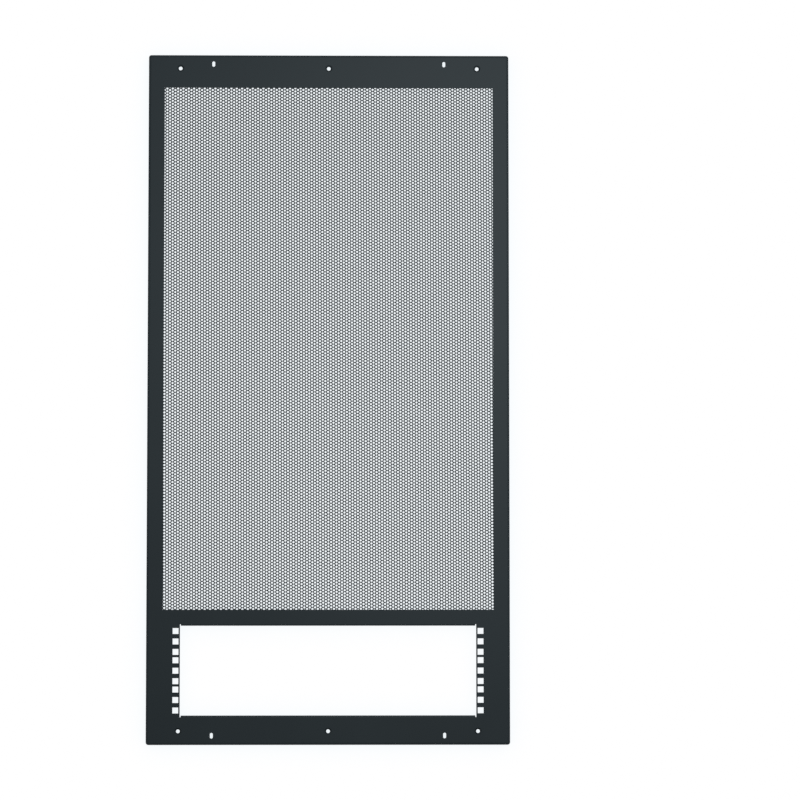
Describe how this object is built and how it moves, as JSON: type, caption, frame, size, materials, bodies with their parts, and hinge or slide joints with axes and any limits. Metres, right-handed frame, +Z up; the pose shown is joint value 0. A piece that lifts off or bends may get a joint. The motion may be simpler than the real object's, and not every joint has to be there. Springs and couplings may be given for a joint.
{
  "type": "vented rack top panel",
  "caption": "Flat folded-steel top panel for a server rack, with down-turned flanges, a large perforated vent screen and a rack opening with square-holed rails.",
  "frame": {"origin": "Middle of the panel's outline, at the level of the flanges' lower edges, where it rests when laid down", "axes": "+X across the panel, +Y along it away from the rack opening, +Z up out of the finished face"},
  "size_m": [0.5552, 1.06, 0.019],
  "materials": {
    "frame_coat": "satin black powder coat",
    "screen_coat": "satin black powder coat"
  },
  "bodies": {
    "root": {"top_frame": "frame_coat", "vent_screen": "screen_coat"}
  },
  "joints": []
}
